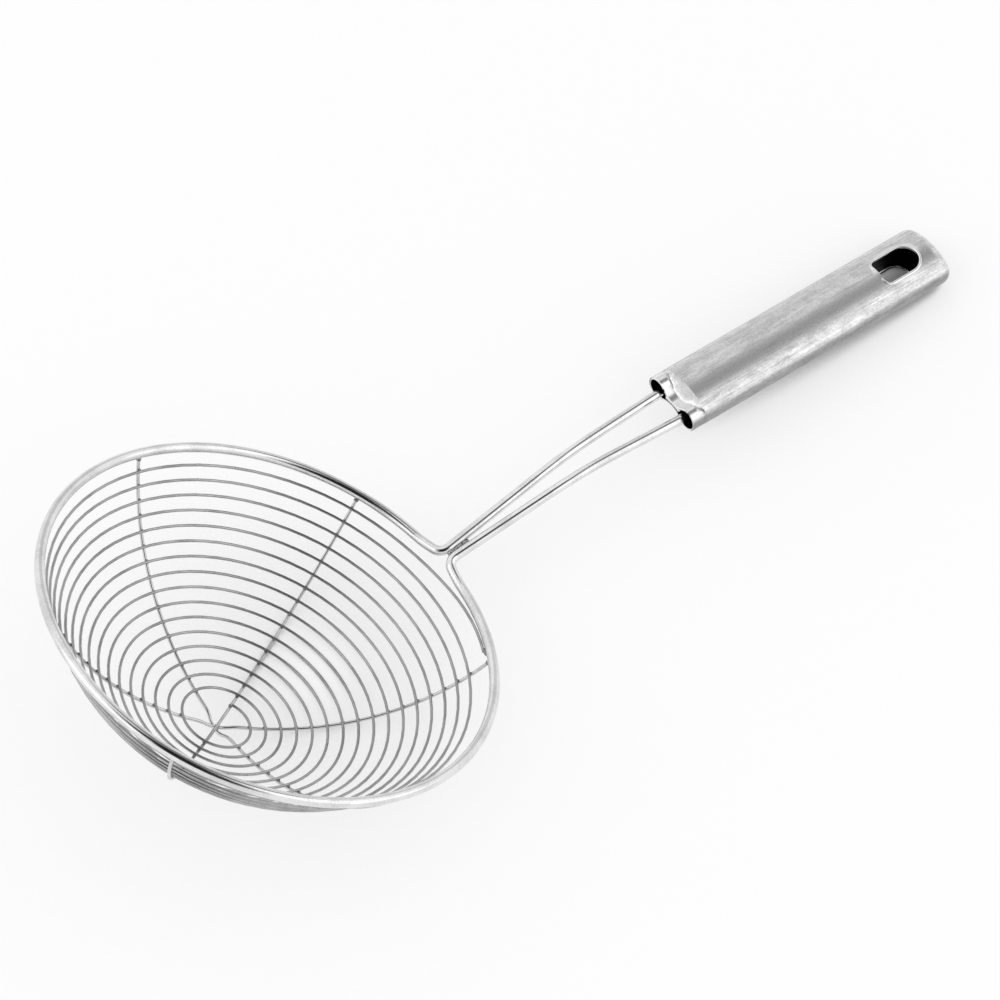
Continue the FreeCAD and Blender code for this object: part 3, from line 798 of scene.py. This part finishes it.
class SKIMMER_OT_wind_spiral(Operator):
    """Wind the bowl's thin wire in one unbroken spiral from the bottom to the rim"""

    bl_idname = "skimmer.wind_spiral"
    bl_label = "Wind the spiral"

    def execute(self, context):
        sizes = context.scene.skimmer_bowl
        bowl = BowlShape(sizes)
        stations = bowl.spiral_stations()
        half = sizes.spiral_wire / 2
        mesh = bmesh.new()
        ring = ring_at(mesh, *stations[0], half, sizes.wire_sides)
        for (start, heading), (end, leaving) in zip(stations, stations[1:]):
            joint = halfway(start, heading, end, leaving)
            ring, heading = draw_arc(mesh, ring, start, heading, joint, sizes.wire_step)
            ring, heading = draw_arc(mesh, ring, joint, heading, end, sizes.wire_step)
        last_ring = [part for part in ring if isinstance(part, bmesh.types.BMVert)]
        arrived = sum((vert.co for vert in last_ring), Vector()) / len(last_ring)
        if (arrived - stations[-1][0]).length > sizes.weld_gap:
            raise RuntimeError("the spiral doesn't end on the rim")
        close_wire_ends(mesh, half)
        bmesh.ops.transform(mesh, matrix=bowl.to_table(), verts=mesh.verts)
        piece = finished_piece("spiral_winding", mesh, drawn_wire_steel())
        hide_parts("spiral_wire")
        return {"FINISHED"}


class SKIMMER_OT_weld_wires(Operator):
    """Weld the spiral, the ribs, the rim and the neck together with small beads"""

    bl_idname = "skimmer.weld_wires"
    bl_label = "Weld the wires"

    def execute(self, context):
        sizes = context.scene.skimmer_bowl
        welds = context.scene.skimmer_welds
        bowl = BowlShape(sizes)
        chance = random.Random(BEAD_SEED)

        def uneven(half_sizes):
            share = 1 + welds.unevenness * chance.uniform(-1, 1)
            return [half * share for half in half_sizes]

        mesh = bmesh.new()
        contact = bowl.spiral_radius + (sizes.spiral_wire + sizes.weld_gap) / 2
        for direction in bowl.rib_directions():
            winding = (sizes.first_rib_angle - direction) % (2 * math.pi)
            while winding <= bowl.wound:
                slope = bowl.slope_after(winding)
                add_bead(mesh, bowl.point(contact, direction, slope), bowl.outward(direction, slope),
                         bowl.uphill(direction, slope), uneven(welds.spot_half))
                winding += 2 * math.pi
            end = bowl.rib_end_slope
            add_bead(mesh, bowl.point(bowl.rib_radius, direction, end), bowl.outward(direction, end),
                     bowl.uphill(direction, end), uneven(welds.foot_half))

        tail_angle = sizes.spiral_end_angle
        tail_end = bowl.point(bowl.spiral_radius, tail_angle, bowl.seat_slope)
        to_rim = (turned(tail_angle) * sizes.rim_radius - tail_end).normalized()
        add_bead(mesh, tail_end + to_rim * (sizes.spiral_wire + sizes.weld_gap) / 2, to_rim,
                 turned(tail_angle + math.pi / 2), welds.tail_half)

        for layer in range(len(RIB_NODES) - 1):
            depth = (sizes.rib_wire + sizes.weld_gap) * (layer + 0.5)
            place = bowl.point(bowl.rib_radius + depth, 0, 0)
            add_bead(mesh, place, Vector((0, 0, -1)), turned(sizes.first_rib_angle), welds.hub_half)

        neck = Vector((math.cos(welds.neck_angle), 0, math.sin(welds.neck_angle)))
        seam = bmesh.new()
        for bead in range(welds.seam_beads):
            place = Vector(welds.neck_corner) + neck * (welds.seam_start + welds.seam_pitch * bead)
            left = 1 - welds.seam_taper * bead / (welds.seam_beads - 1)
            add_bead(seam, place, neck.cross(Vector((0, 1, 0))), neck,
                     [half * left for half in uneven(welds.seam_half)])

        for name, beads, finish in (
                ("weld_beads", mesh, heat_tinted_weld()), ("neck_seam", seam, ground_seam())):
            bmesh.ops.transform(beads, matrix=bowl.to_table(), verts=beads.verts)
            finished_piece(name, beads, finish)
        return {"FINISHED"}


class SKIMMER_OT_roll_slot_lips(Operator):
    """Roll a round lip at the hanging slot's edge, above and below"""

    bl_idname = "skimmer.roll_slot_lips"
    bl_label = "Roll the slot's lips"

    def execute(self, context):
        sizes = context.scene.skimmer_handle
        for name, side in (("slot_lip_upper", 1), ("slot_lip_lower", -1)):
            mesh = self.lip(sizes)
            crown = sizes.crown - sizes.wall / 2
            for vert in mesh.verts:
                sunk = crown - math.sqrt(crown ** 2 - vert.co.y ** 2)
                vert.co.z = side * (vert.co.z + (sizes.thickness - sizes.wall) / 2 - sunk)
            bmesh.ops.transform(mesh, matrix=handle_frame(), verts=mesh.verts)
            finished_piece(name, mesh, brushed_handle_steel())
        return {"FINISHED"}

    def lip(self, sizes):
        """The lip drawn flat: a round bead along the slot's outline."""
        bead = sizes.lip_width / 2
        half = sizes.slot_width / 2 + bead
        corner = sizes.slot_corner + bead
        tip_end = sizes.length - sizes.slot_setback + bead
        square_end = sizes.length - sizes.slot_setback - sizes.slot_length - bead
        round_middle = tip_end - half
        along = Vector((1, 0, 0))
        across = Vector((0, 1, 0))
        long_run = round_middle - square_end - corner
        end_run = 2 * (half - corner)

        mesh = bmesh.new()
        place = Vector((square_end + corner, -half, 0))
        ring = ring_at(mesh, place, along, bead, sizes.lip_sides)
        ring = draw_run(mesh, ring, along * long_run)
        place = place + along * long_run
        ring, heading = draw_arc(mesh, ring, place, along, place + (along + across) * half, LIP_STEP)
        ring, heading = draw_arc(
            mesh, ring, place + (along + across) * half, heading, place + across * 2 * half, LIP_STEP)
        ring = draw_run(mesh, ring, along * -long_run)
        place = Vector((square_end + corner, half, 0))
        ring, heading = draw_arc(mesh, ring, place, -along, place - (along + across) * corner, LIP_STEP)
        ring = draw_run(mesh, ring, across * -end_run)
        place = Vector((square_end, corner - half, 0))
        draw_arc(mesh, ring, place, -across, place + (along - across) * corner, LIP_STEP)
        bmesh.ops.remove_doubles(mesh, verts=mesh.verts, dist=bead * MERGE_SHARE)
        return mesh


class SKIMMER_OT_close_mouth(Operator):
    """Close the pinched mouth between the rods with a seam of beads"""

    bl_idname = "skimmer.close_mouth"
    bl_label = "Close the mouth"

    def execute(self, context):
        sizes = context.scene.skimmer_handle
        waist = sizes.mouth_waist / 2
        lobe_side = sizes.width / 2 - sizes.wall - sizes.lobe_radius
        dip = ((lobe_side ** 2 + waist ** 2 - sizes.lobe_radius ** 2)
               / (2 * (sizes.lobe_radius - waist)))
        pitch = sizes.seam_width / (sizes.seam_beads - 1)
        mesh = bmesh.new()
        for bead in range(sizes.seam_beads):
            side = pitch * bead - sizes.seam_width / 2
            half_gap = waist + dip - math.sqrt(dip ** 2 - side ** 2)
            add_bead(mesh, Vector((sizes.seam_depth, side, 0)), Vector((0, 0, 1)), Vector((1, 0, 0)),
                     (sizes.seam_depth, pitch, half_gap + sizes.seam_bite))
        bmesh.ops.transform(mesh, matrix=handle_frame(), verts=mesh.verts)
        finished_piece("mouth_seam", mesh, brushed_handle_steel())
        return {"FINISHED"}


class SKIMMER_OT_finish_wires(Operator):
    """Give the rim, the neck and the ribs their steel"""

    bl_idname = "skimmer.finish_wires"
    bl_label = "Finish the wires"

    def execute(self, context):
        refinish("rim_and_neck", polished_rim_steel())
        for node in RIB_NODES:
            refinish(node, smooth_rib_steel())
        return {"FINISHED"}


class SKIMMER_OT_finish_handle(Operator):
    """Give the handle its brushed steel"""

    bl_idname = "skimmer.finish_handle"
    bl_label = "Finish the handle"

    def execute(self, context):
        refinish("handle", brushed_handle_steel())
        return {"FINISHED"}


class SKIMMER_OT_set_stage(Operator):
    """Set the floor, the studio's light and the camera"""

    bl_idname = "skimmer.set_stage"
    bl_label = "Set the stage"

    def execute(self, context):
        stage = context.scene.skimmer_stage
        context.scene.view_settings.view_transform = "Standard"
        self.lay_floor(context.scene, stage)
        self.light_studio(context.scene, stage)
        self.hang_lamp(context.scene, "key_lamp", stage.key_power, stage.key_place, stage.key_size)
        self.hang_lamp(context.scene, "fill_lamp", stage.fill_power, stage.fill_place, stage.fill_size)
        self.place_camera(context.scene, stage)
        return {"FINISHED"}

    def lay_floor(self, scene, stage):
        """A plain floor that keeps the shadow and is seen as white, with a painted contact shadow where its
        glow is taken off near the skimmer.
        """
        mesh = bmesh.new()
        bmesh.ops.create_grid(mesh, x_segments=1, y_segments=1, size=stage.floor_size / 2)
        data = bpy.data.meshes.new("studio_floor")
        mesh.to_mesh(data)
        mesh.free()
        floor = bpy.data.objects.new("studio_floor", data)
        scene.collection.objects.link(floor)
        finish = bpy.data.materials.new("studio_floor")
        finish.use_nodes = True
        tree = finish.node_tree
        shader = tree.nodes["Principled BSDF"]
        shader.inputs["Base Color"].default_value = (*stage.floor_colour, 1)
        shader.inputs["Roughness"].default_value = FLOOR_ROUGHNESS
        shader.inputs["Specular IOR Level"].default_value = 0
        shader.inputs["Emission Color"].default_value = (1, 1, 1, 1)
        seen = together(tree, "MAXIMUM", self.seen_directly(tree), self.seen_in_steel(tree))
        # Painted shadow: ambient occlusion takes the floor's glow off where the skimmer lies near, darkening
        # the floor under and beside it on top of its real shadow.
        shade_occlusion = tree.nodes.new("ShaderNodeAmbientOcclusion")
        shade_occlusion.inputs["Distance"].default_value = stage.contact_reach
        glow = spread(tree, shade_occlusion.outputs["AO"], 0, stage.floor_glow, *GLOW_EDGE)
        tree.links.new(together(tree, "MULTIPLY", seen, glow), shader.inputs["Emission Strength"])
        data.materials.append(finish)

    def seen_directly(self, tree):
        """One for what the camera sees, also through something, and else zero."""
        path = tree.nodes.new("ShaderNodeLightPath")
        return together(tree, "MAXIMUM", path.outputs["Is Camera Ray"], path.outputs["Is Transmission Ray"])

    def seen_in_steel(self, tree):
        """One for what the steel mirrors, and else zero."""
        return tree.nodes.new("ShaderNodeLightPath").outputs["Is Glossy Ray"]

    def past_card(self, tree, direction, card, light):
        """What a soft-edged card leaves of the white walls in a direction."""
        bearing, height, reach = card
        towards = Vector((math.cos(bearing), math.sin(bearing), math.tan(height))).normalized()
        facing = tree.nodes.new("ShaderNodeVectorMath")
        facing.operation = "DOT_PRODUCT"
        tree.links.new(direction, facing.inputs[0])
        facing.inputs[1].default_value = towards
        outer = math.cos(reach * (1 + CARD_EDGE))
        inner = math.cos(reach * (1 - CARD_EDGE))
        return spread(tree, facing.outputs["Value"], 1, light, outer, inner)

    def light_studio(self, scene, stage):
        """White walls all round, with four cards for the steel to mirror, and an even light on all else."""
        world = bpy.data.worlds.new("studio")
        scene.world = world
        world.use_nodes = True
        world.cycles.sampling_method = "NONE"
        tree = world.node_tree
        dome = tree.nodes["Background"]
        dome.inputs["Color"].default_value = (1, 1, 1, 1)
        dome.inputs["Strength"].default_value = stage.dome_strength
        backdrop = tree.nodes.new("ShaderNodeBackground")
        backdrop.inputs["Color"].default_value = (1, 1, 1, 1)
        room = tree.nodes.new("ShaderNodeBackground")
        room.inputs["Color"].default_value = (1, 1, 1, 1)
        coordinates = tree.nodes.new("ShaderNodeTexCoord")
        walls = 1
        for card, light in (
                (stage.near_card, stage.near_card_light),
                (stage.top_card, stage.top_card_light),
                (stage.far_card, stage.far_card_light),
                (stage.low_card, stage.low_card_light)):
            left = self.past_card(tree, coordinates.outputs["Generated"], card, light)
            walls = together(tree, "MULTIPLY", walls, left)
        tree.links.new(walls, room.inputs["Strength"])
        mirrored = tree.nodes.new("ShaderNodeMixShader")
        tree.links.new(self.seen_in_steel(tree), mirrored.inputs["Fac"])
        tree.links.new(dome.outputs["Background"], mirrored.inputs[1])
        tree.links.new(room.outputs["Background"], mirrored.inputs[2])
        seen = tree.nodes.new("ShaderNodeMixShader")
        tree.links.new(self.seen_directly(tree), seen.inputs["Fac"])
        tree.links.new(mirrored.outputs["Shader"], seen.inputs[1])
        tree.links.new(backdrop.outputs["Background"], seen.inputs[2])
        tree.links.new(seen.outputs["Shader"], tree.nodes["World Output"].inputs["Surface"])

    def hang_lamp(self, scene, name, power, place, size):
        """A square soft lamp that faces the skimmer."""
        lamp = bpy.data.lights.new(name, "AREA")
        lamp.energy = power
        lamp.size = size
        holder = bpy.data.objects.new(name, lamp)
        holder.location = place
        holder.rotation_euler = (-Vector(place)).to_track_quat("-Z", "Y").to_euler()
        holder.visible_camera = False
        scene.collection.objects.link(holder)

    def place_camera(self, scene, stage):
        """The camera looks down on the skimmer over the bowl's near side."""
        camera = bpy.data.cameras.new("camera")
        camera.lens = stage.camera_lens
        holder = bpy.data.objects.new("camera", camera)
        holder.location = stage.camera_place
        holder.rotation_euler = stage.camera_turn
        scene.collection.objects.link(holder)
        scene.camera = holder


class SKIMMER_PT_sidebar(Panel):
    """The skimmer's steps and sizes"""

    bl_label = "Spider skimmer"
    bl_idname = "SKIMMER_PT_sidebar"
    bl_space_type = "VIEW_3D"
    bl_region_type = "UI"
    bl_category = "Skimmer"

    def draw(self, context):
        for step in STEPS:
            self.layout.operator(step.bl_idname)
        for attribute, group in GROUPS.items():
            box = self.layout.box()
            box.label(text=group.__doc__)
            for name in group.__annotations__:
                box.prop(getattr(context.scene, attribute), name)


GROUPS = {
    "skimmer_bowl": SkimmerBowl,
    "skimmer_welds": SkimmerWelds,
    "skimmer_handle": SkimmerHandle,
    "skimmer_finish": SkimmerFinish,
    "skimmer_grain": SkimmerGrain,
    "skimmer_stage": SkimmerStage,
}
STEPS = (
    SKIMMER_OT_wind_spiral,
    SKIMMER_OT_weld_wires,
    SKIMMER_OT_roll_slot_lips,
    SKIMMER_OT_close_mouth,
    SKIMMER_OT_finish_wires,
    SKIMMER_OT_finish_handle,
    SKIMMER_OT_set_stage,
)


def register():
    for group in GROUPS.values():
        bpy.utils.register_class(group)
    for attribute, group in GROUPS.items():
        setattr(bpy.types.Scene, attribute, PointerProperty(type=group))
    for step in STEPS:
        bpy.utils.register_class(step)
    bpy.utils.register_class(SKIMMER_PT_sidebar)


def unregister():
    bpy.utils.unregister_class(SKIMMER_PT_sidebar)
    for step in reversed(STEPS):
        bpy.utils.unregister_class(step)
    for attribute in GROUPS:
        delattr(bpy.types.Scene, attribute)
    for group in reversed(GROUPS.values()):
        bpy.utils.unregister_class(group)


def main():
    register()
    bpy.ops.skimmer.wind_spiral()
    bpy.ops.skimmer.weld_wires()
    bpy.ops.skimmer.roll_slot_lips()
    bpy.ops.skimmer.close_mouth()
    bpy.ops.skimmer.finish_wires()
    bpy.ops.skimmer.finish_handle()
    bpy.ops.skimmer.set_stage()


if __name__ == "__main__":
    main()
